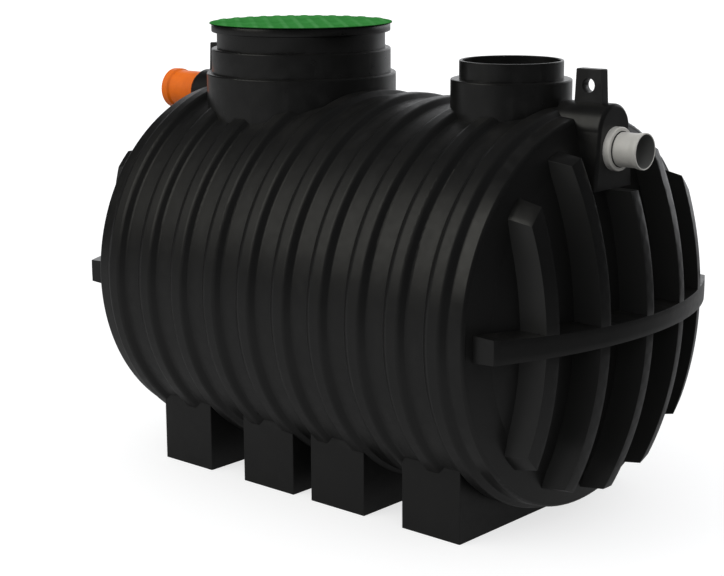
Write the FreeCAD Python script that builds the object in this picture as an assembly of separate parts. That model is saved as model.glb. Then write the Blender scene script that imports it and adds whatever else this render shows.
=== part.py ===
import FreeCAD, Part
import math
import os

os.makedirs("parts", exist_ok=True)

V = FreeCAD.Vector

# X runs along the tank from inlet (-X) to outlet (+X), Z is up, z = 0 is the ground.
# Shapes are drawn with X = 0 at the middle of the barrel and saved with X = 0 at the
# middle of the whole length.

# barrel
RIB_COUNT = 10
RIB_PITCH = 161.2
RIB_CREST_R = 662.0
RIB_DEPTH = 18.0
RIB_FLOOR_R = RIB_CREST_R - RIB_DEPTH
RIB_CREST_WIDTH = 48.0
RIB_FLANK = 21.5
RIB_FOOT_WIDTH = RIB_CREST_WIDTH + 2.0 * RIB_FLANK
RIB_CREST_ROUND = 22.0
RIB_FOOT_ROUND = 12.0
WALL = 10.0
GROUND_GAP = 42.0
AXIS_Z = GROUND_GAP + RIB_CREST_R
BARREL_TOP = AXIS_Z + RIB_CREST_R
FLOOR_TOP = AXIS_Z + RIB_FLOOR_R
LAST_RIB_X = (RIB_COUNT - 1) / 2.0 * RIB_PITCH

# dished ends
END_SEAM_X = LAST_RIB_X + RIB_FOOT_WIDTH / 2.0 + 6.0
END_EDGE_X = LAST_RIB_X + 104.0
END_EDGE_ROUND = 12.0
END_EDGE_R = RIB_FLOOR_R - 6.0
END_MEET_R = RIB_FLOOR_R - 104.0
DISH_R = 1300.0
DISH_PEAK_X = END_EDGE_X + 144.5

# stiffening fins and belt of each end
FIN_OUTER_Y = RIB_FLOOR_R - 224.0
FIN_INNER_Y = FIN_OUTER_Y - 201.0
FIN_Y = (-FIN_OUTER_Y, -FIN_INNER_Y, 0.0, FIN_INNER_Y, FIN_OUTER_Y)
FIN_TIP_WIDTH = 39.0
FIN_ROOT_WIDTH = 56.0
FIN_ROOT_R = RIB_FLOOR_R - 59.0
FIN_TIP_R = RIB_FLOOR_R - 92.0
FIN_FACE_R = 1210.0
FIN_FACE_PEAK_X = DISH_PEAK_X + 101.5
FIN_ROOT_X = END_EDGE_X - 6.0
FIN_TIP_X = FIN_FACE_PEAK_X + 10.0
BELT_Z = AXIS_Z - 1.0
BELT_TIP_HEIGHT = 62.0
BELT_ROOT_HEIGHT = 86.0
BELT_HALF_LENGTH = RIB_FLOOR_R - 42.0

# saddle feet
FOOT_X = (-586.3, -178.7, 146.7, 554.3)
FOOT_WIDTH = 241.8
FOOT_LENGTH = 2.0 * (RIB_FLOOR_R - 192.0)
FOOT_EDGE_ROUND = 3.0

# necks
NECK_ROOT_Z = AXIS_Z + 0.6 * RIB_FLOOR_R

# manhole neck
MANHOLE_BASE_R = 341.8
MANHOLE_EDGE_X = -LAST_RIB_X - 39.2
MANHOLE_X = MANHOLE_EDGE_X + MANHOLE_BASE_R
MANHOLE_BASE_TOP = BARREL_TOP + 44.7
MANHOLE_COLLAR_R = MANHOLE_BASE_R - 18.8
MANHOLE_COLLAR_TOP = MANHOLE_BASE_TOP + 86.3
MANHOLE_RISER_R = MANHOLE_COLLAR_R - 20.0
MANHOLE_FLANGE_Z = MANHOLE_COLLAR_TOP + 58.0
MANHOLE_FLANGE_R = MANHOLE_RISER_R + 19.0
MANHOLE_TOP = MANHOLE_FLANGE_Z + 23.0

# manhole lid
LID_SEAT_GAP = 0.3
LID_R = MANHOLE_FLANGE_R + 6.4
LID_THICK = 9.0
LID_RIDGE_HEIGHT = 3.5
LID_RIDGE_WIDTH = 18.0
LID_RIDGE_PITCH = 52.0
LID_RIDGE_COUNT = 12
LID_RIDGE_ANGLE = -45.0
LID_RIM_WIDTH = 14.0

# inspection neck
INSPECT_BASE_R = 198.8
INSPECT_EDGE_X = LAST_RIB_X - 7.6
INSPECT_X = INSPECT_EDGE_X - INSPECT_BASE_R
INSPECT_BASE_TOP = BARREL_TOP + 77.0
INSPECT_RIM_R = INSPECT_BASE_R - 28.2
INSPECT_TOP = INSPECT_BASE_TOP + 60.0

# pipe bosses and lifting lugs
BOSS_FACE_X = END_EDGE_X + 96.0
BOSS_BACK_X = LAST_RIB_X + 15.0
BOSS_HALF_WIDTH = 84.0
BOSS_TOP = BARREL_TOP + 23.0
BOSS_FLARE = 22.0
BOSS_FOOT_Z = FLOOR_TOP - 226.0
BOSS_EDGE_ROUND = 12.0
BOSS_NECK_GAP = 0.3
LUG_CENTRE_X = END_EDGE_X + 3.0
LUG_BASE_LENGTH = 104.0
LUG_TOP_LENGTH = 92.0
LUG_THICK = 36.0
LUG_TOP = BOSS_TOP + 104.0
LUG_EYE_Z = BOSS_TOP + 52.0
LUG_EYE_R = 23.0
LUG_EDGE_ROUND = 4.0

# outlet pipe, DN110
OUTLET_Z = FLOOR_TOP - 100.0
OUTLET_PIPE_R = 55.0
OUTLET_PIPE_WALL = 3.4
OUTLET_SOCKET_R = OUTLET_PIPE_R + 4.0
OUTLET_SOCKET_BORE_R = OUTLET_PIPE_R + 0.3
OUTLET_SOCKET_LENGTH = 38.0
OUTLET_MOUTH_X = BOSS_FACE_X + 112.0
OUTLET_SEAL_R = OUTLET_PIPE_R + 14.7
OUTLET_SEAL_LENGTH = 23.0

# inlet pipe, one size up
INLET_Z = FLOOR_TOP - 42.0
INLET_PIPE_R = 70.0
INLET_PIPE_WALL = 3.6
INLET_SOCKET_R = INLET_PIPE_R + 6.0
INLET_SOCKET_BORE_R = INLET_PIPE_R + 0.3
INLET_SOCKET_LENGTH = 28.0
INLET_MOUTH_X = BOSS_FACE_X + 170.0
INLET_SEAL_R = INLET_PIPE_R + 4.0
INLET_SEAL_LENGTH = 8.0

PIPE_INNER_X = LAST_RIB_X + 59.0
MIDDLE_SHIFT = (INLET_MOUTH_X - FIN_FACE_PEAK_X) / 2.0


def save(shape, name):
    placed = shape.copy()
    placed.translate(V(MIDDLE_SHIFT, 0, 0))
    placed.exportStep("parts/" + name + ".step")


def rounded_wire(corners):
    # corners: (x, z, round radius) in the XZ plane, closed
    count = len(corners)
    starts = []
    edges = []
    for i in range(count):
        x, z, radius = corners[i]
        here = V(x, 0, z)
        before = V(corners[i - 1][0], 0, corners[i - 1][1])
        after = V(corners[(i + 1) % count][0], 0, corners[(i + 1) % count][1])
        if radius <= 0:
            starts.append((here, None, here))
            continue
        to_before = (before - here).normalize()
        to_after = (after - here).normalize()
        half = to_before.getAngle(to_after) / 2.0
        run = radius / math.tan(half)
        middle = (to_before + to_after).normalize()
        centre = here + middle * (radius / math.sin(half))
        starts.append((here + to_before * run, centre - middle * radius, here + to_after * run))
    for i in range(count):
        first, arc_mid, last = starts[i]
        if arc_mid is not None:
            edges.append(Part.Arc(first, arc_mid, last).toShape())
        edges.append(Part.makeLine(last, starts[(i + 1) % count][0]))
    return Part.Wire(edges)


def turn_about_tank(corners):
    # corners: (x, radius from the tank axis, round)
    face = Part.Face(rounded_wire(corners))
    solid = face.revolve(V(0, 0, 0), V(1, 0, 0), 360)
    solid.translate(V(0, 0, AXIS_Z))
    return solid


def turn_upright(corners, x):
    # corners: (radius, z, round)
    face = Part.Face(rounded_wire(corners))
    solid = face.revolve(V(0, 0, 0), V(0, 0, 1), 360)
    solid.translate(V(x, 0, 0))
    return solid


def turn_level(corners, z):
    # corners: (x, radius, round)
    face = Part.Face(rounded_wire(corners))
    solid = face.revolve(V(0, 0, 0), V(1, 0, 0), 360)
    solid.translate(V(0, 0, z))
    return solid


def upright_rod(radius, x, z0, z1):
    return Part.makeCylinder(radius, z1 - z0, V(x, 0, z0), V(0, 0, 1))


def level_rod(radius, z, x0, x1):
    return Part.makeCylinder(radius, x1 - x0, V(x0, 0, z), V(1, 0, 0))


def mirror_x(shape):
    return shape.mirror(V(0, 0, 0), V(1, 0, 0))


def rib_centre(index):
    return (index - (RIB_COUNT - 1) / 2.0) * RIB_PITCH


def rib_span(index):
    left = rib_centre(index) - RIB_PITCH / 2.0
    right = rib_centre(index) + RIB_PITCH / 2.0
    if index == 0:
        left = -END_SEAM_X
    if index == RIB_COUNT - 1:
        right = END_SEAM_X
    return left, right


def rib_line(index):
    # outer line of one rib, from its left seam to its right seam
    left, right = rib_span(index)
    mid = rib_centre(index)
    return [
        (left, RIB_FLOOR_R, 0),
        (mid - RIB_FOOT_WIDTH / 2.0, RIB_FLOOR_R, RIB_FOOT_ROUND),
        (mid - RIB_CREST_WIDTH / 2.0, RIB_CREST_R, RIB_CREST_ROUND),
        (mid + RIB_CREST_WIDTH / 2.0, RIB_CREST_R, RIB_CREST_ROUND),
        (mid + RIB_FOOT_WIDTH / 2.0, RIB_FLOOR_R, RIB_FOOT_ROUND),
        (right, RIB_FLOOR_R, 0),
    ]


def rib_filled(index):
    left, right = rib_span(index)
    line = rib_line(index)
    return turn_about_tank(line + [(right, 0, 0), (left, 0, 0)])


def rib_hollow(index):
    left, right = rib_span(index)
    return turn_about_tank([
        (left - 1.0, 0, 0),
        (left - 1.0, RIB_FLOOR_R - WALL, 0),
        (right + 1.0, RIB_FLOOR_R - WALL, 0),
        (right + 1.0, 0, 0),
    ])


def dish_x(radius, dish, peak):
    return peak - dish + math.sqrt(dish * dish - radius * radius)


def end_filled():
    # dished end behind a narrow band and a rounded edge, solid to the axis
    meet = V(dish_x(END_MEET_R, DISH_R, DISH_PEAK_X), 0, END_MEET_R)
    half = V(dish_x(END_MEET_R / 2.0, DISH_R, DISH_PEAK_X), 0, END_MEET_R / 2.0)
    peak = V(DISH_PEAK_X, 0, 0)
    seam = V(END_SEAM_X, 0, RIB_FLOOR_R)
    band_end = V(END_EDGE_X - END_EDGE_ROUND, 0, END_EDGE_R + 3.0)
    edge_mid = V(END_EDGE_X - 0.3 * END_EDGE_ROUND, 0, END_EDGE_R - 0.2 * END_EDGE_ROUND)
    edge_end = V(END_EDGE_X, 0, END_EDGE_R - END_EDGE_ROUND)
    edges = [
        Part.makeLine(V(END_SEAM_X, 0, 0), seam),
        Part.makeLine(seam, band_end),
        Part.Arc(band_end, edge_mid, edge_end).toShape(),
        Part.makeLine(edge_end, meet),
        Part.Arc(meet, half, peak).toShape(),
        Part.makeLine(peak, V(END_SEAM_X, 0, 0)),
    ]
    solid = Part.Face(Part.Wire(edges)).revolve(V(0, 0, 0), V(1, 0, 0), 360)
    solid.translate(V(0, 0, AXIS_Z))
    return solid


def end_hollow():
    # space inside the dished end
    inner_r = RIB_FLOOR_R - WALL
    start = END_SEAM_X - 1.0
    corner = V(END_EDGE_X - 1.5 * WALL, 0, inner_r)
    shoulder = V(END_EDGE_X - WALL, 0, END_EDGE_R - 1.9 * WALL)
    meet = V(dish_x(END_MEET_R, DISH_R - WALL, DISH_PEAK_X - WALL), 0, END_MEET_R)
    half = V(dish_x(END_MEET_R / 2.0, DISH_R - WALL, DISH_PEAK_X - WALL), 0, END_MEET_R / 2.0)
    peak = V(DISH_PEAK_X - WALL, 0, 0)
    edges = [
        Part.makeLine(V(start, 0, 0), V(start, 0, inner_r)),
        Part.makeLine(V(start, 0, inner_r), corner),
        Part.makeLine(corner, shoulder),
        Part.makeLine(shoulder, meet),
        Part.Arc(meet, half, peak).toShape(),
        Part.makeLine(peak, V(start, 0, 0)),
    ]
    solid = Part.Face(Part.Wire(edges)).revolve(V(0, 0, 0), V(1, 0, 0), 360)
    solid.translate(V(0, 0, AXIS_Z))
    return solid


def fin_space():
    # everything between the dish and the domed faces of the fins, inside their end cone
    face = Part.makeSphere(FIN_FACE_R, V(FIN_FACE_PEAK_X - FIN_FACE_R, 0, AXIS_Z))
    length = FIN_TIP_X - FIN_ROOT_X
    cone = Part.makeCone(FIN_ROOT_R, FIN_TIP_R, length, V(FIN_ROOT_X, 0, AXIS_Z), V(1, 0, 0))
    return face.common(cone)


def wedge(root_x, tip_x, root_half, tip_half):
    points = [
        V(root_x, -root_half, 0),
        V(tip_x, -tip_half, 0),
        V(tip_x, tip_half, 0),
        V(root_x, root_half, 0),
    ]
    return Part.Face(Part.makePolygon(points + points[:1]))


def fin(y, space, end_solid, belt):
    plate = wedge(FIN_ROOT_X, FIN_TIP_X, FIN_ROOT_WIDTH / 2.0, FIN_TIP_WIDTH / 2.0)
    plate = plate.extrude(V(0, 0, 2.0 * RIB_CREST_R))
    plate.translate(V(0, y, AXIS_Z - RIB_CREST_R))
    return plate.common(space).cut(end_solid).cut(belt)


def belt_band(end_solid):
    plate = wedge(FIN_ROOT_X, FIN_TIP_X, BELT_ROOT_HEIGHT / 2.0, BELT_TIP_HEIGHT / 2.0)
    plate = plate.extrude(V(0, 0, 2.0 * BELT_HALF_LENGTH))
    plate.rotate(V(0, 0, 0), V(1, 0, 0), -90)
    plate.translate(V(0, -BELT_HALF_LENGTH, BELT_Z))
    face = Part.makeSphere(FIN_FACE_R, V(FIN_FACE_PEAK_X - FIN_FACE_R, 0, AXIS_Z))
    return plate.common(face).cut(end_solid)


def boss_block():
    # round-topped turret that carries the pipe, flaring a little towards its foot
    centre_z = BOSS_TOP - BOSS_HALF_WIDTH
    top = V(BOSS_BACK_X, 0, BOSS_TOP)
    left = V(BOSS_BACK_X, -BOSS_HALF_WIDTH, centre_z)
    right = V(BOSS_BACK_X, BOSS_HALF_WIDTH, centre_z)
    left_foot = V(BOSS_BACK_X, -BOSS_HALF_WIDTH - BOSS_FLARE, BOSS_FOOT_Z)
    right_foot = V(BOSS_BACK_X, BOSS_HALF_WIDTH + BOSS_FLARE, BOSS_FOOT_Z)
    outline = Part.Wire([
        Part.Arc(left, top, right).toShape(),
        Part.makeLine(right, right_foot),
        Part.makeLine(right_foot, left_foot),
        Part.makeLine(left_foot, left),
    ])
    block = Part.Face(outline).extrude(V(BOSS_FACE_X - BOSS_BACK_X, 0, 0))
    at_front = [e for e in block.Edges if e.BoundBox.XMin > BOSS_FACE_X - 1.0]
    front = [e for e in at_front if e.BoundBox.ZMax > BOSS_FOOT_Z + 1.0]
    return block.makeFillet(BOSS_EDGE_ROUND, front)


def foot_block():
    # one saddle foot before the barrel is cut out of it
    height = AXIS_Z - RIB_FLOOR_R / 2.0
    block = Part.makeBox(FOOT_WIDTH, FOOT_LENGTH, height, V(0, -FOOT_LENGTH / 2.0, 0))
    corners = [e for e in block.Edges if e.BoundBox.ZMin < 1.0 and e.BoundBox.ZMax > 1.0]
    return block.makeFillet(FOOT_EDGE_ROUND, corners)


def lug(block):
    centre = LUG_CENTRE_X
    points = [
        V(centre - LUG_BASE_LENGTH / 2.0, -LUG_THICK / 2.0, BOSS_TOP - BOSS_EDGE_ROUND),
        V(centre + LUG_BASE_LENGTH / 2.0, -LUG_THICK / 2.0, BOSS_TOP - BOSS_EDGE_ROUND),
        V(centre + LUG_TOP_LENGTH / 2.0, -LUG_THICK / 2.0, LUG_TOP),
        V(centre - LUG_TOP_LENGTH / 2.0, -LUG_THICK / 2.0, LUG_TOP),
    ]
    plate = Part.Face(Part.makePolygon(points + points[:1])).extrude(V(0, LUG_THICK, 0))
    top_edges = [e for e in plate.Edges if e.BoundBox.ZMin > LUG_TOP - 1.0]
    plate = plate.makeFillet(LUG_EDGE_ROUND, top_edges)
    eye = Part.makeCylinder(LUG_EYE_R, 2.0 * LUG_THICK, V(centre, -LUG_THICK, LUG_EYE_Z), V(0, 1, 0))
    return plate.cut(eye).cut(block)


def pipe(z, radius, wall, socket_r, socket_bore_r, socket_length, mouth_x):
    # spigot with a flared socket mouth, drawn towards +X
    taper = 8.0
    neck_x = mouth_x - socket_length
    corners = [
        (PIPE_INNER_X, radius, 0),
        (neck_x - taper, radius, 0),
        (neck_x, socket_r, 0),
        (mouth_x, socket_r, 0),
        (mouth_x, socket_bore_r, 0),
        (neck_x + 2.0, socket_bore_r, 0),
        (neck_x + 2.0, radius - wall, 0),
        (PIPE_INNER_X, radius - wall, 0),
    ]
    return turn_level(corners, z)


def seal(z, pipe_r, seal_r, length, edge_round):
    start = BOSS_FACE_X
    corners = [
        (start, seal_r, 0),
        (start + length, seal_r, edge_round),
        (start + length, pipe_r, 0),
        (start, pipe_r, 0),
    ]
    return turn_level(corners, z)


# shared outlines
ribs_filled = [rib_filled(i) for i in range(RIB_COUNT)]
barrel_filled = ribs_filled[0].multiFuse(ribs_filled[1:])
end_solid = end_filled()
end_space = end_hollow()
tank_filled = barrel_filled.multiFuse([end_solid, mirror_x(end_solid)])

manhole_bore = upright_rod(MANHOLE_BASE_R - WALL, MANHOLE_X, AXIS_Z, MANHOLE_TOP)
inspect_bore = upright_rod(INSPECT_BASE_R - WALL, INSPECT_X, AXIS_Z, INSPECT_TOP)
outlet_hole = level_rod(OUTLET_PIPE_R, OUTLET_Z, 0.0, 2.0 * BOSS_FACE_X)
inlet_hole = level_rod(INLET_PIPE_R, INLET_Z, 0.0, 2.0 * BOSS_FACE_X)

# barrel, one ribbed hoop at a time
for index in range(RIB_COUNT):
    hoop = ribs_filled[index].cut(rib_hollow(index)).cut(manhole_bore).cut(inspect_bore)
    save(hoop, "barrel_hoop_%02d" % (index + 1))

# dished ends, with the hole for each pipe
outlet_end = end_solid.cut(end_space).cut(outlet_hole)
inlet_end = mirror_x(end_solid.cut(end_space).cut(inlet_hole))
save(outlet_end, "outlet_end")
save(inlet_end, "inlet_end")

# saddle feet, each shaped to the ribs it carries
for index, x in enumerate(FOOT_X):
    block = foot_block()
    block.translate(V(x - FOOT_WIDTH / 2.0, 0, 0))
    foot = block.cut(barrel_filled)
    save(foot, "saddle_foot_%d" % (index + 1))

# belt and fins on both ends
space = fin_space()
belt = belt_band(end_solid)
save(belt, "outlet_belt")
save(mirror_x(belt), "inlet_belt")
pipe_room = BARREL_TOP - BOSS_FOOT_Z
pipe_reach = FIN_TIP_X - FIN_ROOT_X
pipe_corner = V(FIN_ROOT_X, -BOSS_HALF_WIDTH, BOSS_FOOT_Z)
pipe_clearance = Part.makeBox(pipe_reach, 2.0 * BOSS_HALF_WIDTH, pipe_room, pipe_corner)
for index, y in enumerate(FIN_Y):
    plate = fin(y, space, end_solid, belt).cut(pipe_clearance)
    save(plate, "outlet_fin_%d" % (index + 1))
    save(mirror_x(plate), "inlet_fin_%d" % (index + 1))

# manhole neck
manhole_base = turn_upright([
    (MANHOLE_BASE_R, NECK_ROOT_Z, 0),
    (MANHOLE_BASE_R, MANHOLE_BASE_TOP, 6.0),
    (MANHOLE_COLLAR_R - WALL, MANHOLE_BASE_TOP, 0),
    (MANHOLE_COLLAR_R - WALL, MANHOLE_BASE_TOP - WALL, 0),
    (MANHOLE_BASE_R - WALL, MANHOLE_BASE_TOP - WALL, 0),
    (MANHOLE_BASE_R - WALL, NECK_ROOT_Z, 0),
], MANHOLE_X).cut(tank_filled)
save(manhole_base, "manhole_base")

manhole_collar = turn_upright([
    (MANHOLE_COLLAR_R, MANHOLE_BASE_TOP, 0),
    (MANHOLE_COLLAR_R, MANHOLE_COLLAR_TOP, 6.0),
    (MANHOLE_RISER_R - WALL, MANHOLE_COLLAR_TOP, 0),
    (MANHOLE_RISER_R - WALL, MANHOLE_COLLAR_TOP - WALL, 0),
    (MANHOLE_COLLAR_R - WALL, MANHOLE_COLLAR_TOP - WALL, 0),
    (MANHOLE_COLLAR_R - WALL, MANHOLE_BASE_TOP, 0),
], MANHOLE_X)
save(manhole_collar, "manhole_collar")

manhole_riser = turn_upright([
    (MANHOLE_RISER_R, MANHOLE_COLLAR_TOP, 0),
    (MANHOLE_RISER_R, MANHOLE_FLANGE_Z, 3.0),
    (MANHOLE_FLANGE_R, MANHOLE_FLANGE_Z, 3.0),
    (MANHOLE_FLANGE_R, MANHOLE_TOP, 0),
    (MANHOLE_RISER_R - WALL, MANHOLE_TOP, 0),
    (MANHOLE_RISER_R - WALL, MANHOLE_COLLAR_TOP, 0),
], MANHOLE_X)
save(manhole_riser, "manhole_riser")

# lid with raised tread ridges
lid_bottom = MANHOLE_TOP + LID_SEAT_GAP
lid_disc = upright_rod(LID_R, MANHOLE_X, lid_bottom, lid_bottom + LID_THICK)
lid_top = lid_bottom + LID_THICK + LID_RIDGE_HEIGHT
lid_limit = upright_rod(LID_R - LID_RIM_WIDTH, MANHOLE_X, lid_bottom, lid_top)
ridges = []
for index in range(LID_RIDGE_COUNT):
    offset = (index - (LID_RIDGE_COUNT - 1) / 2.0) * LID_RIDGE_PITCH
    ridge = Part.makeBox(2.0 * LID_R, LID_RIDGE_WIDTH, LID_THICK + LID_RIDGE_HEIGHT)
    ridge.translate(V(-LID_R, offset - LID_RIDGE_WIDTH / 2.0, lid_bottom))
    ridge.rotate(V(0, 0, 0), V(0, 0, 1), LID_RIDGE_ANGLE)
    ridge.translate(V(MANHOLE_X, 0, 0))
    ridges.append(ridge.common(lid_limit))
lid = lid_disc.multiFuse(ridges).removeSplitter()
save(lid, "manhole_lid")

# inspection neck
inspect_base = turn_upright([
    (INSPECT_BASE_R, NECK_ROOT_Z, 0),
    (INSPECT_BASE_R, INSPECT_BASE_TOP, 5.0),
    (INSPECT_RIM_R - WALL, INSPECT_BASE_TOP, 0),
    (INSPECT_RIM_R - WALL, INSPECT_BASE_TOP - WALL, 0),
    (INSPECT_BASE_R - WALL, INSPECT_BASE_TOP - WALL, 0),
    (INSPECT_BASE_R - WALL, NECK_ROOT_Z, 0),
], INSPECT_X).cut(tank_filled)
save(inspect_base, "inspection_base")

inspect_rim = turn_upright([
    (INSPECT_RIM_R, INSPECT_BASE_TOP, 0),
    (INSPECT_RIM_R, INSPECT_TOP, 3.0),
    (INSPECT_RIM_R - WALL, INSPECT_TOP, 3.0),
    (INSPECT_RIM_R - WALL, INSPECT_BASE_TOP, 0),
], INSPECT_X)
save(inspect_rim, "inspection_rim")

# pipe bosses with their lifting lugs
turret = boss_block()
turret_on_tank = turret.cut(end_solid).cut(barrel_filled)
outlet_boss = turret_on_tank.cut(outlet_hole)
neck_room = upright_rod(MANHOLE_BASE_R + BOSS_NECK_GAP, MANHOLE_X, AXIS_Z, MANHOLE_TOP)
inlet_boss = mirror_x(turret_on_tank.cut(inlet_hole)).cut(neck_room)
save(outlet_boss, "outlet_boss")
save(inlet_boss, "inlet_boss")
lifting_lug = lug(turret)
save(lifting_lug, "outlet_lug")
save(mirror_x(lifting_lug), "inlet_lug")

# pipes and the seals around them
outlet_pipe = pipe(OUTLET_Z, OUTLET_PIPE_R, OUTLET_PIPE_WALL, OUTLET_SOCKET_R,
                   OUTLET_SOCKET_BORE_R, OUTLET_SOCKET_LENGTH, OUTLET_MOUTH_X)
save(outlet_pipe, "outlet_pipe")
save(seal(OUTLET_Z, OUTLET_PIPE_R, OUTLET_SEAL_R, OUTLET_SEAL_LENGTH, 4.0), "outlet_seal")
inlet_pipe = pipe(INLET_Z, INLET_PIPE_R, INLET_PIPE_WALL, INLET_SOCKET_R,
                  INLET_SOCKET_BORE_R, INLET_SOCKET_LENGTH, INLET_MOUTH_X)
save(mirror_x(inlet_pipe), "inlet_pipe")
save(mirror_x(seal(INLET_Z, INLET_PIPE_R, INLET_SEAL_R, INLET_SEAL_LENGTH, 1.5)), "inlet_seal")
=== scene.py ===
import math

import bmesh
import bpy
from mathutils import Euler, Matrix, Vector


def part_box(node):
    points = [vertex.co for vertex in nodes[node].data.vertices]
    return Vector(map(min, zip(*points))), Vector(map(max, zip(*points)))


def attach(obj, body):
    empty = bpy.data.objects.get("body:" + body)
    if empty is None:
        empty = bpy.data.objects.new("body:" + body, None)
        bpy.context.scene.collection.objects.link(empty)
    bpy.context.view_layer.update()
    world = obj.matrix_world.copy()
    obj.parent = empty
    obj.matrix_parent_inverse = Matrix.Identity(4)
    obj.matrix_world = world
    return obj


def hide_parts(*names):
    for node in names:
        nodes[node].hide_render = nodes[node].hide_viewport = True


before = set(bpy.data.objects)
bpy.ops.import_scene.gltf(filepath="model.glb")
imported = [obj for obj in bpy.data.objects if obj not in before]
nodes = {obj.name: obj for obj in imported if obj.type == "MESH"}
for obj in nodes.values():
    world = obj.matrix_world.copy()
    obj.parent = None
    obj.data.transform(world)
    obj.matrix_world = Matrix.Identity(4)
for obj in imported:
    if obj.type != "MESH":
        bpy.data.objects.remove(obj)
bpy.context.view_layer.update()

# The barrel is one shell of black polyethylene with ten ribs round it. Powder is tumbled in
# a hot mould until it melts on, so the skin is satin, waves a little and has a fine grain,
# and the pigment settles in faint clouds.
RIBS = 10
BLACK_DEEP = (0.0036, 0.0036, 0.0034, 1.0)
BLACK_WASHED = (0.0054, 0.0053, 0.0049, 1.0)
# grey of real scuffs and knocked edges, also used for the painted highlight on fin side walls
SCUFF_AND_HIGHLIGHT_GREY = (0.022, 0.022, 0.021, 1.0)
SCUFF_STRETCH = (3.0, 30.0, 9.0)
SETTLED_DUST = (0.045, 0.042, 0.037, 1.0)
SKIN_GLOSS = 0.5
SKIN_GRAIN_HEIGHT = 0.0002


def new_finish(name):
    finish = bpy.data.materials.new(name)
    finish.use_nodes = True
    return finish, finish.node_tree, finish.node_tree.nodes["Principled BSDF"]


def skin_place(tree, stretch=(1.0, 1.0, 1.0)):
    # object position in metres, stretched for streaky patterns
    coordinates = tree.nodes.new("ShaderNodeTexCoord")
    mapping = tree.nodes.new("ShaderNodeMapping")
    mapping.inputs["Scale"].default_value = stretch
    tree.links.new(coordinates.outputs["Object"], mapping.inputs["Vector"])
    return mapping.outputs["Vector"]


def skin_facing(tree):
    # the three parts of the direction in which the skin faces
    split = tree.nodes.new("ShaderNodeSeparateXYZ")
    normal = tree.nodes.new("ShaderNodeNewGeometry").outputs["Normal"]
    tree.links.new(normal, split.inputs["Vector"])
    return split.outputs


def cloud(tree, place, per_metre, detail=4.0, roughness=0.5):
    noise = tree.nodes.new("ShaderNodeTexNoise")
    noise.inputs["Scale"].default_value = per_metre
    noise.inputs["Detail"].default_value = detail
    noise.inputs["Roughness"].default_value = roughness
    tree.links.new(place, noise.inputs["Vector"])
    return noise.outputs["Fac"]


def between(tree, value, low, high, least=0.0, most=1.0):
    # the stretch of value from low to high, turned into an amount from least to most
    span = tree.nodes.new("ShaderNodeMapRange")
    span.inputs["From Min"].default_value = low
    span.inputs["From Max"].default_value = high
    span.inputs["To Min"].default_value = least
    span.inputs["To Max"].default_value = most
    tree.links.new(value, span.inputs["Value"])
    return span.outputs["Result"]


def patches(tree, place, per_metre, low, high, least=0.0, most=1.0, detail=4.0, roughness=0.5):
    return between(tree, cloud(tree, place, per_metre, detail, roughness), low, high, least, most)


def times(tree, first, second):
    product = tree.nodes.new("ShaderNodeMath")
    product.operation = "MULTIPLY"
    tree.links.new(first, product.inputs[0])
    tree.links.new(second, product.inputs[1])
    return product.outputs["Value"]


def either(tree, first, second):
    larger = tree.nodes.new("ShaderNodeMath")
    larger.operation = "MAXIMUM"
    tree.links.new(first, larger.inputs[0])
    tree.links.new(second, larger.inputs[1])
    return larger.outputs["Value"]


def tinted(tree, amount, base, tint):
    # base and tint are colours or the sockets that carry them
    mix = tree.nodes.new("ShaderNodeMix")
    mix.data_type = "RGBA"
    tree.links.new(amount, mix.inputs["Factor"])
    for colour, socket in ((base, mix.inputs["A"]), (tint, mix.inputs["B"])):
        if isinstance(colour, tuple):
            socket.default_value = colour
        else:
            tree.links.new(colour, socket)
    return mix.outputs["Result"]


def relief(tree, height, distance, strength, below=None):
    bump = tree.nodes.new("ShaderNodeBump")
    bump.inputs["Distance"].default_value = distance
    bump.inputs["Strength"].default_value = strength
    tree.links.new(height, bump.inputs["Height"])
    if below is not None:
        tree.links.new(below, bump.inputs["Normal"])
    return bump.outputs["Normal"]


def facing_up(tree, low, high):
    return between(tree, skin_facing(tree)["Z"], low, high)


def facing_along_y(tree, low, high):
    # walls that face either way along Y
    along = skin_facing(tree)["Y"]
    return either(tree, between(tree, along, low, high), between(tree, along, -low, -high))


def worn_edges(tree, low, high):
    geometry = tree.nodes.new("ShaderNodeNewGeometry")
    return between(tree, geometry.outputs["Pointiness"], low, high)


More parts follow.
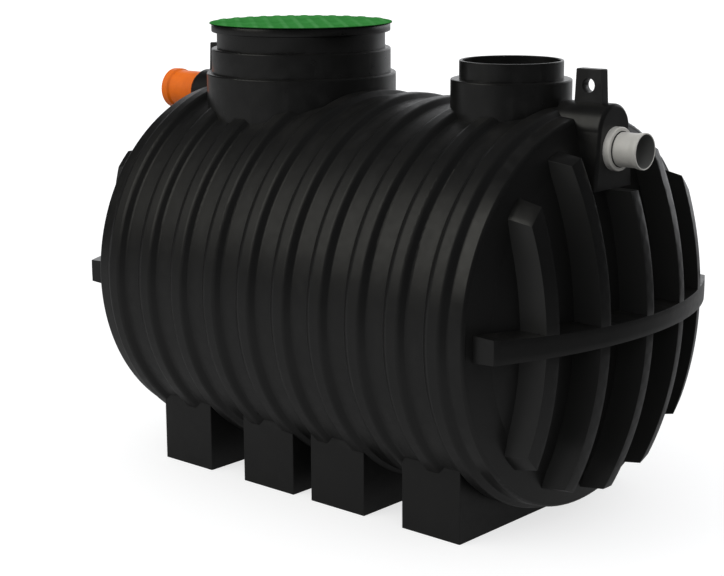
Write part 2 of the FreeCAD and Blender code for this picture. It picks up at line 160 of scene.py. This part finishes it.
def moulded_black(name, wave_height, polished=0.36, dull=0.46, side_highlight=0.0):
    # polished and dull are the skin's least and most roughness, and the last argument is how far its side
    # walls, which face along Y, are painted paler, a painted highlight
    finish, tree, shader = new_finish(name)
    place = skin_place(tree)
    pigment = patches(tree, place, per_metre=3.1, low=0.32, high=0.68, detail=5.0, roughness=0.6)
    colour = tinted(tree, pigment, BLACK_DEEP, BLACK_WASHED)
    scuffs = patches(tree, skin_place(tree, SCUFF_STRETCH), per_metre=4.0, low=0.66, high=0.74,
                     most=0.35, detail=6.0, roughness=0.7)
    colour = tinted(tree, scuffs, colour, SCUFF_AND_HIGHLIGHT_GREY)
    knocks = patches(tree, place, per_metre=22.0, low=0.4, high=0.7, most=0.45)
    knocked_edges = times(tree, worn_edges(tree, low=0.53, high=0.62), knocks)
    colour = tinted(tree, knocked_edges, colour, SCUFF_AND_HIGHLIGHT_GREY)
    drifts = patches(tree, place, per_metre=7.0, low=0.45, high=0.8, most=0.22, detail=8.0, roughness=0.65)
    dust = times(tree, facing_up(tree, low=0.72, high=1.0), drifts)
    colour = tinted(tree, dust, colour, SETTLED_DUST)
    # painted highlight: side walls that face along Y are painted paler, in patches
    if side_highlight > 0.0:
        side_highlight_patches = patches(tree, place, per_metre=5.0, low=0.2, high=0.8, least=0.8 * side_highlight, most=side_highlight)
        painted_side_highlight = times(tree, facing_along_y(tree, low=0.7, high=0.95), side_highlight_patches)
        colour = tinted(tree, painted_side_highlight, colour, SCUFF_AND_HIGHLIGHT_GREY)
    tree.links.new(colour, shader.inputs["Base Color"])
    mottle = patches(tree, place, per_metre=41.0, low=0.3, high=0.7, least=polished, most=dull,
                     detail=5.0, roughness=0.6)
    tree.links.new(mottle, shader.inputs["Roughness"])
    shader.inputs["Specular IOR Level"].default_value = SKIN_GLOSS
    waves = relief(tree, cloud(tree, place, per_metre=6.5, detail=2.0), wave_height, strength=0.6)
    grain = relief(tree, cloud(tree, place, per_metre=620.0, detail=2.0), SKIN_GRAIN_HEIGHT,
                   strength=0.25, below=waves)
    tree.links.new(grain, shader.inputs["Normal"])
    return finish


def dress(piece, finish):
    piece.data.materials.clear()
    piece.data.materials.append(finish)


barrel_skin = moulded_black("barrel_skin", wave_height=0.004)
for number in range(1, RIBS + 1):
    dress(nodes["barrel_hoop_%02d" % number], barrel_skin)

# The dished ends close the barrel behind a rounded edge. They are the same moulding as the
# barrel, and come off the flat end plates of the mould a little smoother.
end_skin = moulded_black("end_skin", wave_height=0.003, polished=0.28, dull=0.37)
for end in ("inlet", "outlet"):
    dress(nodes[end + "_end"], end_skin)

# Five upright fins and one level belt stiffen each end against the push of the ground.
# They are hollow folds of the shell, so every edge has the small round of the mould.
FINS_AN_END = 5
FIN_EDGE_ROUND = 0.003
SAME_CORNER = 0.00002
fin_skin = moulded_black("fin_skin", wave_height=0.002, polished=0.28, dull=0.37, side_highlight=0.62)


def round_edges(piece, radius, steps=3, sharper_than=32.0):
    seam = piece.modifiers.new("joined_corners", "WELD")
    seam.merge_threshold = SAME_CORNER
    bevel = piece.modifiers.new("moulded_edge", "BEVEL")
    bevel.width = radius
    bevel.segments = steps
    bevel.limit_method = "ANGLE"
    bevel.angle_limit = math.radians(sharper_than)
    bevel.use_clamp_overlap = True
    bevel.harden_normals = True


for end in ("inlet", "outlet"):
    for number in range(1, FINS_AN_END + 1):
        fin = nodes["%s_fin_%d" % (end, number)]
        dress(fin, fin_skin)
        round_edges(fin, FIN_EDGE_ROUND)
    belt = nodes[end + "_belt"]
    dress(belt, end_skin)
    round_edges(belt, FIN_EDGE_ROUND)

# Four saddle feet carry the barrel on its slab. They are moulded with it as straight boxes,
# crisp at the corners, and their tops follow the ribs.
FEET = 4
FOOT_EDGE_ROUND = 0.0015
foot_skin = moulded_black("foot_skin", wave_height=0.002)
for number in range(1, FEET + 1):
    foot = nodes["saddle_foot_%d" % number]
    dress(foot, foot_skin)
    round_edges(foot, FOOT_EDGE_ROUND)

# The manhole neck stands in three steps on the barrel and ends in a flange for the lid.
# It is moulded with the barrel, and its mouth is trimmed with a knife, so the flange keeps a
# soft outer edge and a crisp inner one.
NECK_STEPS_ROUND = 256
SMOOTH_UNDER = math.radians(38.0)
RISER_WALL = 0.010
FLANGE_STANDS_HIGHER = 0.005
FLANGE_HEIGHT = 0.028
FLANGE_OVERHANG = 0.019
FLANGE_CORNER = 0.004
FLANGE_CORNER_CUT = 0.0012
FILLET_DROP = 0.006
FILLET_REACH = 0.005
FILLET_HOLLOW_DROP = 0.0022
FILLET_HOLLOW_REACH = 0.0012
neck_skin = moulded_black("neck_skin", wave_height=0.001, polished=0.27, dull=0.36)
for part in ("manhole_base", "manhole_collar"):
    dress(nodes[part], neck_skin)


def as_piece(name, form):
    bmesh.ops.recalc_face_normals(form, faces=form.faces)
    mesh = bpy.data.meshes.new(name)
    form.to_mesh(mesh)
    form.free()
    for face in mesh.polygons:
        face.use_smooth = True
    mesh.set_sharp_from_angle(angle=SMOOTH_UNDER)
    piece = bpy.data.objects.new(name, mesh)
    bpy.context.scene.collection.objects.link(piece)
    return piece


def round_axis(centre, r, turn, height):
    # the point at radius r and angle turn round the upright axis through centre
    return (centre[0] + r * math.cos(turn), centre[1] + r * math.sin(turn), height)


def turned(name, centre, outline, steps):
    # closed outline of (radius, height) points swept once round an upright axis
    form = bmesh.new()
    rings = []
    for step in range(steps):
        turn = 2.0 * math.pi * step / steps
        rings.append([form.verts.new(round_axis(centre, r, turn, z)) for r, z in outline])
    for step in range(steps):
        here = rings[step]
        there = rings[(step + 1) % steps]
        for i in range(len(outline)):
            j = (i + 1) % len(outline)
            form.faces.new((here[i], there[i], there[j], here[j]))
    return as_piece(name, form)


riser_low, riser_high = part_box("manhole_riser")
neck_centre = ((riser_low[0] + riser_high[0]) / 2.0, (riser_low[1] + riser_high[1]) / 2.0)
flange_r = (riser_high[0] - riser_low[0]) / 2.0
flange_top = riser_high[2] + FLANGE_STANDS_HIGHER
flange_foot = flange_top - FLANGE_HEIGHT
riser_r = flange_r - FLANGE_OVERHANG
riser_bore = riser_r - RISER_WALL
riser = turned("manhole_riser_moulded", neck_centre, [
    (riser_bore, riser_low[2]),
    (riser_r, riser_low[2]),
    (riser_r, flange_foot - FILLET_DROP),
    (riser_r + FILLET_HOLLOW_REACH, flange_foot - FILLET_HOLLOW_DROP),
    (riser_r + FILLET_REACH, flange_foot),
    (flange_r - FLANGE_CORNER, flange_foot),
    (flange_r - FLANGE_CORNER_CUT, flange_foot + FLANGE_CORNER_CUT),
    (flange_r, flange_foot + FLANGE_CORNER),
    (flange_r, flange_top - FLANGE_CORNER),
    (flange_r - FLANGE_CORNER_CUT, flange_top - FLANGE_CORNER_CUT),
    (flange_r - FLANGE_CORNER, flange_top),
    (riser_bore, flange_top)], NECK_STEPS_ROUND)
dress(riser, neck_skin)
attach(riser, "tank")
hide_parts("manhole_riser")

# The manhole lid is one injection moulding of green polyethylene. Rolled tread ridges slant
# across it to the rim, whose thin lip overhangs the flange and is hollow underneath.
LID_GREEN_DEEP = (0.026, 0.158, 0.031, 1.0)
LID_GREEN_WASHED = (0.042, 0.212, 0.049, 1.0)
LID_GREEN_CREST_HIGHLIGHT = (0.075, 0.260, 0.082, 1.0)
LID_GREEN_PAINTED_SHADE = (0.005, 0.022, 0.006, 1.0)
LID_GLOSS = 0.0
LID_RIDGE_PITCH = 0.052
LID_RIDGE_PHASE = 0.644
LID_RIDGE_HEIGHT = 0.0030
LID_RIDGE_FLATTENED = 1.25
LID_RIDGE_STEEPNESS = 1.2
LID_RIDGE_TURN = math.radians(42.8)
LID_STEPS_ROUND = 360
LID_STEPS_ACROSS = 80
LID_LIP_WIDTH = 0.007
# how far in from the rim, and how far above the plane between the ridges
LID_LIP = [(0.0035, 0.0008), (0.0012, 0.0004), (0.0, -0.0010), (0.0, -0.0034), (0.0060, -0.0042)]
# how far in from the rim, and how far above the lid's foot
LID_UNDERSIDE = [(0.0075, 0.0), (0.0300, 0.0), (0.0320, 0.0012)]


def lid_ridge(x, y):
    # height of the rolled tread at a point measured from the middle of the lid
    along = x * math.sin(LID_RIDGE_TURN) + y * math.cos(LID_RIDGE_TURN)
    crest = 0.5 + 0.5 * math.cos(2.0 * math.pi * (along / LID_RIDGE_PITCH - LID_RIDGE_PHASE))
    return LID_RIDGE_HEIGHT * min(1.0, LID_RIDGE_FLATTENED * crest) ** LID_RIDGE_STEEPNESS


def lid_crests(tree, place):
    # 1 on the crest of each ridge and -1 half-way to the next, in step with lid_ridge
    per_metre = 2.0 * math.pi / LID_RIDGE_PITCH
    across_x = math.sin(LID_RIDGE_TURN) * per_metre
    across_y = math.cos(LID_RIDGE_TURN) * per_metre
    along = tree.nodes.new("ShaderNodeVectorMath")
    along.operation = "DOT_PRODUCT"
    along.inputs[1].default_value = (across_x, across_y, 0.0)
    tree.links.new(place, along.inputs[0])
    from_first = tree.nodes.new("ShaderNodeMath")
    from_first.operation = "SUBTRACT"
    from_first.inputs[1].default_value = (
        2.0 * math.pi * LID_RIDGE_PHASE + neck_centre[0] * across_x + neck_centre[1] * across_y)
    tree.links.new(along.outputs["Value"], from_first.inputs[0])
    crests = tree.nodes.new("ShaderNodeMath")
    crests.operation = "COSINE"
    tree.links.new(from_first.outputs["Value"], crests.inputs[0])
    return crests.outputs["Value"]


def lid_plastic():
    finish, tree, shader = new_finish("lid_green")
    place = skin_place(tree)
    pigment = patches(tree, place, per_metre=9.0, low=0.3, high=0.7, detail=6.0, roughness=0.6)
    colour = tinted(tree, pigment, LID_GREEN_DEEP, LID_GREEN_WASHED)
    # painted highlight: the crest of each ridge is painted paler green, in patches
    highlight_patches = patches(tree, place, per_metre=6.0, low=0.35, high=0.65, least=0.15, most=0.6, detail=3.0)
    crests = between(tree, lid_crests(tree, place), low=0.2, high=0.95)
    painted_crest_highlight = times(tree, crests, highlight_patches)
    colour = tinted(tree, painted_crest_highlight, colour, LID_GREEN_CREST_HIGHLIGHT)
    # painted shade: the lid's edge and underside, which face sideways and down, are painted dark green
    painted_shade_side = facing_up(tree, low=0.75, high=0.2)
    colour = tinted(tree, painted_shade_side, colour, LID_GREEN_PAINTED_SHADE)
    drifts = patches(tree, place, per_metre=26.0, low=0.55, high=0.8, most=0.25, detail=8.0, roughness=0.7)
    dust = times(tree, facing_up(tree, low=0.96, high=1.0), drifts)
    colour = tinted(tree, dust, colour, SETTLED_DUST)
    tree.links.new(colour, shader.inputs["Base Color"])
    mottle = patches(tree, place, per_metre=60.0, low=0.3, high=0.7, least=0.55, most=0.7)
    tree.links.new(mottle, shader.inputs["Roughness"])
    shader.inputs["Specular IOR Level"].default_value = LID_GLOSS
    grain = relief(tree, cloud(tree, place, per_metre=480.0, detail=2.0), distance=0.0004, strength=0.3)
    tree.links.new(grain, shader.inputs["Normal"])
    return finish


lid_low, lid_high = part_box("manhole_lid")
lid_r = (lid_high[0] - lid_low[0]) / 2.0
lid_foot = lid_low[2] + FLANGE_STANDS_HIGHER
lid_plane = lid_high[2] - LID_RIDGE_HEIGHT
lid_edge = [(lid_r - inset, lid_plane + rise) for inset, rise in LID_LIP]
lid_edge += [(lid_r - inset, lid_foot + rise) for inset, rise in LID_UNDERSIDE]
form = bmesh.new()
hub = form.verts.new(round_axis(neck_centre, 0.0, 0.0, lid_plane + lid_ridge(0.0, 0.0)))
under_hub = form.verts.new(round_axis(neck_centre, 0.0, 0.0, lid_edge[-1][1]))
spokes = []
for step in range(LID_STEPS_ROUND):
    turn = 2.0 * math.pi * step / LID_STEPS_ROUND
    spoke = []
    for ring in range(1, LID_STEPS_ACROSS + 1):
        r = (lid_r - LID_LIP_WIDTH) * ring / LID_STEPS_ACROSS
        ridge = lid_ridge(r * math.cos(turn), r * math.sin(turn))
        spoke.append(form.verts.new(round_axis(neck_centre, r, turn, lid_plane + ridge)))
    for r, z in lid_edge:
        spoke.append(form.verts.new(round_axis(neck_centre, r, turn, z)))
    spokes.append(spoke)
for step in range(LID_STEPS_ROUND):
    here = spokes[step]
    there = spokes[(step + 1) % LID_STEPS_ROUND]
    form.faces.new((hub, here[0], there[0]))
    form.faces.new((under_hub, there[-1], here[-1]))
    for i in range(len(here) - 1):
        form.faces.new((here[i], here[i + 1], there[i + 1], there[i]))
lid = as_piece("manhole_lid_ridged", form)
dress(lid, lid_plastic())
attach(lid, "lid")
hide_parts("manhole_lid")

# The inspection neck is left open, a short rim on a wider step. It is moulded with the
# barrel as the manhole neck is, and its mouth is cut out afterwards.
for part in ("inspection_base", "inspection_rim"):
    dress(nodes[part], neck_skin)

# A round-topped boss carries each pipe, and a lifting lug stands on it. Both are folds of
# the same black moulding, and the eye of the lug is drilled through for a shackle.
LUG_EDGE_ROUND = 0.003
LUG_EDGE_STEPS = 2
for end in ("inlet", "outlet"):
    dress(nodes[end + "_boss"], end_skin)
    lug = nodes[end + "_lug"]
    dress(lug, end_skin)
    round_edges(lug, LUG_EDGE_ROUND, LUG_EDGE_STEPS)

# The outlet is a short grey polypropylene pipe, extruded and then flared hot to a socket with a rolled
# lip. It is pushed through a ring of the same grey plastic, which is set in the boss, and its bore is
# painted dark grey, a painted shade.
PIPE_GREY = (0.50, 0.485, 0.45, 1.0)
PIPE_GREY_HANDLED = (0.43, 0.42, 0.39, 1.0)
PIPE_BORE_SHADE = (0.11, 0.11, 0.105, 1.0)
BORE_SHADE_FROM_AXIS = 0.034
BORE_SHADE_FULL_FROM_AXIS = 0.048
PIPE_STEPS_ROUND = 128
PIPE_WALL = 0.0034
PIPE_LIP_R = 0.0027
PIPE_LIP_STEPS = 10
SOCKET_INSIDE_BOX = 0.0008
SOCKET_SWELL = 0.0038
FLARE_START = 0.034
FLARE_END = 0.010
FLARE_STEPS = 10
BORE_STRAIGHT = 0.004
BORE_STEPS = 8


def pipe_plastic(name, clean, handled, per_metre, smooth, dull):
    # the colour is handed back unlinked, so that more can be painted onto a pipe, such as painted shade
    finish, tree, shader = new_finish(name)
    place = skin_place(tree)
    handling = patches(tree, place, per_metre, low=0.35, high=0.7, detail=6.0, roughness=0.65)
    colour = tinted(tree, handling, clean, handled)
    mottle = patches(tree, place, per_metre=70.0, low=0.3, high=0.7, least=smooth, most=dull)
    tree.links.new(mottle, shader.inputs["Roughness"])
    grain = relief(tree, cloud(tree, place, per_metre=500.0, detail=2.0), distance=0.0002, strength=0.2)
    tree.links.new(grain, shader.inputs["Normal"])
    return finish, tree, shader, colour


def bore_of(tree, axis_height, low, high):
    # skin that faces the axis of a level pipe along X, from low to high metres off it
    to_axis = tree.nodes.new("ShaderNodeVectorMath")
    to_axis.operation = "SUBTRACT"
    to_axis.inputs[0].default_value = (0.0, 0.0, axis_height)
    tree.links.new(skin_place(tree), to_axis.inputs[1])
    across = tree.nodes.new("ShaderNodeVectorMath")
    across.operation = "MULTIPLY"
    across.inputs[1].default_value = (0.0, 1.0, 1.0)
    tree.links.new(to_axis.outputs["Vector"], across.inputs[0])
    inward = tree.nodes.new("ShaderNodeVectorMath")
    inward.operation = "DOT_PRODUCT"
    tree.links.new(across.outputs["Vector"], inward.inputs[0])
    tree.links.new(tree.nodes.new("ShaderNodeNewGeometry").outputs["Normal"], inward.inputs[1])
    return between(tree, inward.outputs["Value"], low, high)


def eased(share):
    # from 0 to 1 with a gentle start and end
    return share * share * (3.0 - 2.0 * share)


def lie_along_x(piece, height):
    # an upright turned piece laid down, so that its top points along +X
    laid = Matrix.Rotation(math.radians(90.0), 4, "Y")
    piece.data.transform(Matrix.Translation((0.0, 0.0, height)) @ laid)


pipe_low, pipe_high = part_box("outlet_pipe")
pipe_height = (pipe_low[2] + pipe_high[2]) / 2.0
socket_r = (pipe_high[1] - pipe_low[1]) / 2.0 - SOCKET_INSIDE_BOX
socket_bore = socket_r - 2.0 * PIPE_LIP_R
pipe_r = socket_r - SOCKET_SWELL
pipe_bore = pipe_r - PIPE_WALL
mouth_x = pipe_high[0]
lip_x = mouth_x - PIPE_LIP_R
pipe_outline = [(pipe_bore, pipe_low[0]), (pipe_r, pipe_low[0])]
for step in range(FLARE_STEPS + 1):
    share = step / FLARE_STEPS
    x = mouth_x - FLARE_START + (FLARE_START - FLARE_END) * share
    pipe_outline.append((pipe_r + SOCKET_SWELL * eased(share), x))
for step in range(PIPE_LIP_STEPS + 1):
    turn = math.pi * step / PIPE_LIP_STEPS
    r = socket_r - PIPE_LIP_R + PIPE_LIP_R * math.cos(turn)
    pipe_outline.append((r, lip_x + PIPE_LIP_R * math.sin(turn)))
for step in range(1, BORE_STEPS + 1):
    share = step / BORE_STEPS
    x = lip_x - BORE_STRAIGHT - (FLARE_START - BORE_STRAIGHT) * share
    pipe_outline.append((socket_bore + (pipe_bore - socket_bore) * eased(share), x))
outlet = turned("outlet_pipe_flared", (0.0, 0.0), pipe_outline, PIPE_STEPS_ROUND)
lie_along_x(outlet, pipe_height)
pipe_grey, tree, shader, colour = pipe_plastic(
    "pipe_grey", PIPE_GREY, PIPE_GREY_HANDLED, per_metre=16.0, smooth=0.28, dull=0.42)
# painted shade: the bore, which faces the pipe's axis, is painted dark
painted_bore_shade = bore_of(tree, pipe_height, BORE_SHADE_FROM_AXIS, BORE_SHADE_FULL_FROM_AXIS)
tree.links.new(tinted(tree, painted_bore_shade, colour, PIPE_BORE_SHADE), shader.inputs["Base Color"])
dress(outlet, pipe_grey)
dress(nodes["outlet_seal"], pipe_grey)
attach(outlet, "tank")
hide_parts("outlet_pipe")

# A thin gasket closes the gap where the outlet pipe goes into its grey ring. It is a moulded
# loop of black rubber that the pipe squeezes out a little, and it has chalked in the sun.
RUBBER_BLACK = (0.006, 0.006, 0.006, 1.0)
RUBBER_CHALKED = (0.016, 0.016, 0.015, 1.0)
GASKET_STEPS_ROUND = 96
# how far out from the pipe, and how far past the ring's face
GASKET_OUTLINE = [(0.0003, -0.0035), (0.003, -0.0035), (0.003, 0.0012), (0.0022, 0.0026), (0.0003, 0.0030)]
seal_rubber, tree, shader = new_finish("seal_rubber")
place = skin_place(tree)
chalk = patches(tree, place, per_metre=60.0, low=0.4, high=0.7)
tree.links.new(tinted(tree, chalk, RUBBER_BLACK, RUBBER_CHALKED), shader.inputs["Base Color"])
mottle = patches(tree, place, per_metre=120.0, low=0.3, high=0.7, least=0.6, most=0.8)
tree.links.new(mottle, shader.inputs["Roughness"])
grain = relief(tree, cloud(tree, place, per_metre=700.0, detail=2.0), distance=0.0002, strength=0.3)
tree.links.new(grain, shader.inputs["Normal"])
ring_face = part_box("outlet_seal")[1][0]
gasket_outline = [(pipe_r + out, ring_face + past) for out, past in GASKET_OUTLINE]
gasket = turned("outlet_gasket", (0.0, 0.0), gasket_outline, GASKET_STEPS_ROUND)
lie_along_x(gasket, pipe_height)
dress(gasket, seal_rubber)
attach(gasket, "tank")

# The inlet is an orange-brown underground drain pipe, one size larger than the outlet. It is
# extruded, with a thick lip formed on its end, and is pushed through a ring in its boss.
PIPE_ORANGE = (0.82, 0.160, 0.004, 1.0)
PIPE_ORANGE_DEEP = (0.70, 0.125, 0.003, 1.0)
ORANGE_GLOSS = 0.25
pipe_orange, tree, shader, colour = pipe_plastic(
    "pipe_orange", PIPE_ORANGE, PIPE_ORANGE_DEEP, per_metre=12.0, smooth=0.3, dull=0.44)
tree.links.new(colour, shader.inputs["Base Color"])
shader.inputs["Specular IOR Level"].default_value = ORANGE_GLOSS
dress(nodes["inlet_pipe"], pipe_orange)
dress(nodes["inlet_seal"], neck_skin)

# The floor is a pale painted sweep that keeps the tank's shadow and goes over into the backdrop without a
# line. To reflected and bounced light its colour is painted darker past the outlet end, a painted shade
# that the black skin mirrors, and it glows faintly to light the tank from below, a painted glow.
FLOOR_REACH = 60.0
FLOOR_PALE = (0.17, 0.17, 0.17, 1.0)
FLOOR_SHADED = (0.06, 0.06, 0.06, 1.0)
FLOOR_SEEN = (0.38, 0.38, 0.38, 1.0)
FLOOR_GLOW = (1.0, 1.0, 1.0, 1.0)
SHADE_STARTS_X = 1.4
SHADE_FULL_X = 3.4
GLOW_PALE = 0.12
GLOW_SHADED = 0.02
LIFT_NEAR = 0.70
LIFT_FAR = 0.80
LIFT_NEAR_REACH = 2.0
LIFT_FAR_REACH = 12.0
floor_mesh = bpy.data.meshes.new("studio_floor")
corners = [(-FLOOR_REACH, -FLOOR_REACH, 0.0), (FLOOR_REACH, -FLOOR_REACH, 0.0),
           (FLOOR_REACH, FLOOR_REACH, 0.0), (-FLOOR_REACH, FLOOR_REACH, 0.0)]
floor_mesh.from_pydata(corners, [], [(0, 1, 2, 3)])
floor = bpy.data.objects.new("studio_floor", floor_mesh)
bpy.context.scene.collection.objects.link(floor)
floor_white, tree, shader = new_finish("floor_white")
tree.nodes.remove(shader)
rays = tree.nodes.new("ShaderNodeLightPath").outputs
seen_by_lens = either(tree, rays["Is Camera Ray"], rays["Is Transmission Ray"])
place = skin_place(tree)
floor_place = tree.nodes.new("ShaderNodeSeparateXYZ")
tree.links.new(place, floor_place.inputs["Vector"])
# painted shade: to reflected and bounced light the floor's colour darkens past the outlet end
shade = between(tree, floor_place.outputs["X"], SHADE_STARTS_X, SHADE_FULL_X)
painted = tinted(tree, shade, FLOOR_PALE, FLOOR_SHADED)
paint = tree.nodes.new("ShaderNodeBsdfDiffuse")
tree.links.new(tinted(tree, seen_by_lens, painted, FLOOR_SEEN), paint.inputs["Color"])
reach = tree.nodes.new("ShaderNodeVectorMath")
reach.operation = "LENGTH"
tree.links.new(place, reach.inputs[0])
lift = between(tree, reach.outputs["Value"], LIFT_NEAR_REACH, LIFT_FAR_REACH, LIFT_NEAR, LIFT_FAR)
# painted glow: the floor gives off light onto the tank, fading past the outlet end
painted_glow = between(tree, floor_place.outputs["X"], SHADE_STARTS_X, SHADE_FULL_X, GLOW_PALE, GLOW_SHADED)
glow = tree.nodes.new("ShaderNodeEmission")
glow.inputs["Color"].default_value = FLOOR_GLOW
tree.links.new(either(tree, times(tree, seen_by_lens, lift), painted_glow), glow.inputs["Strength"])
lit_floor = tree.nodes.new("ShaderNodeAddShader")
tree.links.new(paint.outputs["BSDF"], lit_floor.inputs[0])
tree.links.new(glow.outputs["Emission"], lit_floor.inputs[1])
tree.links.new(lit_floor.outputs["Shader"], tree.nodes["Material Output"].inputs["Surface"])
dress(floor, floor_white)

# The room lights the tank evenly from all sides. To the lens and to the gloss of the skin
# its back wall is white, and its other walls and its ceiling are dark.
BACKDROP_WHITE = (0.97, 0.98, 1.0, 1.0)
ROOM_DARK = (0.030, 0.030, 0.032, 1.0)
ROOM_FILL = 1.05
BACKDROP_TOWARDS = (-0.34, 0.94, 0.0)
BACKDROP_FADES_IN = 0.62
BACKDROP_FULL = 0.75
CEILING_STARTS = 0.34
CEILING_FULL = 0.76
studio = bpy.data.worlds.new("studio")
bpy.context.scene.world = studio
studio.use_nodes = True
tree = studio.node_tree
fill = tree.nodes["Background"]
fill.inputs["Color"].default_value = BACKDROP_WHITE
fill.inputs["Strength"].default_value = ROOM_FILL
direction = tree.nodes.new("ShaderNodeTexCoord").outputs["Generated"]
backwards = tree.nodes.new("ShaderNodeVectorMath")
backwards.operation = "DOT_PRODUCT"
backwards.inputs[1].default_value = BACKDROP_TOWARDS
tree.links.new(direction, backwards.inputs[0])
upwards = tree.nodes.new("ShaderNodeSeparateXYZ")
tree.links.new(direction, upwards.inputs["Vector"])
back_wall = between(tree, backwards.outputs["Value"], BACKDROP_FADES_IN, BACKDROP_FULL)
below_ceiling = between(tree, upwards.outputs["Z"], CEILING_STARTS, CEILING_FULL, 1.0, 0.0)
walls = tinted(tree, times(tree, back_wall, below_ceiling), ROOM_DARK, BACKDROP_WHITE)
seen_room = tree.nodes.new("ShaderNodeBackground")
tree.links.new(walls, seen_room.inputs["Color"])
rays = tree.nodes.new("ShaderNodeLightPath").outputs
seen_or_mirrored = either(tree, rays["Is Camera Ray"], rays["Is Glossy Ray"])
seen = either(tree, seen_or_mirrored, rays["Is Transmission Ray"])
pick = tree.nodes.new("ShaderNodeMixShader")
tree.links.new(seen, pick.inputs["Fac"])
tree.links.new(fill.outputs["Background"], pick.inputs[1])
tree.links.new(seen_room.outputs["Background"], pick.inputs[2])
tree.links.new(pick.outputs["Shader"], tree.nodes["World Output"].inputs["Surface"])

# Three softboxes shape the tank. The large one on the left runs a broad light down each rib,
# a faint one hangs overhead, and a low one behind draws the edges of the far side.
LEFT_WARM = (1.0, 0.99, 0.91)
OVERHEAD_WHITE = (1.0, 1.0, 1.0)
BACK_COOL = (0.96, 0.98, 1.0)


def softbox(name, place, target, width, height, power, tint):
    panel = bpy.data.lights.new(name, "AREA")
    panel.shape = "RECTANGLE"
    panel.size = width
    panel.size_y = height
    panel.energy = power
    panel.color = tint
    lamp = bpy.data.objects.new(name, panel)
    lamp.location = place
    lamp.visible_camera = False
    aim = Vector(target) - Vector(place)
    lamp.rotation_euler = aim.to_track_quat("-Z", "Y").to_euler()
    bpy.context.scene.collection.objects.link(lamp)


softbox("left_softbox", place=(-2.4, -4.5, 4.4), target=(0.0, 0.0, 0.7),
        width=4.2, height=5.0, power=80.0, tint=LEFT_WARM)
softbox("overhead_softbox", place=(0.0, 0.5, 7.0), target=(0.0, 0.0, 0.5),
        width=6.0, height=5.0, power=2.5, tint=OVERHEAD_WHITE)
softbox("back_softbox", place=(-1.6, 6.2, 1.3), target=(0.0, 0.0, 0.9),
        width=7.0, height=2.2, power=14.0, tint=BACK_COOL)

# The camera stands in front of the outlet end, a little above the manhole lid, and looks
# down along the tank with a long lens.
SENSOR_WIDTH_MM = 36.0
LENS_MM = 85.369
FARTHEST_SEEN = 200.0
CAMERA_PLACE = (3.8818, -4.5251, 2.0042)
CAMERA_TURN = [math.radians(degrees) for degrees in (77.3423, 0.29, 41.4653)]
lens = bpy.data.cameras.new("photo_camera")
lens.sensor_width = SENSOR_WIDTH_MM
lens.lens = LENS_MM
lens.clip_end = FARTHEST_SEEN
camera = bpy.data.objects.new("photo_camera", lens)
camera.location = CAMERA_PLACE
camera.rotation_euler = Euler(CAMERA_TURN, "XYZ")
bpy.context.scene.collection.objects.link(camera)
bpy.context.scene.camera = camera
bpy.context.scene.view_settings.view_transform = "Standard"
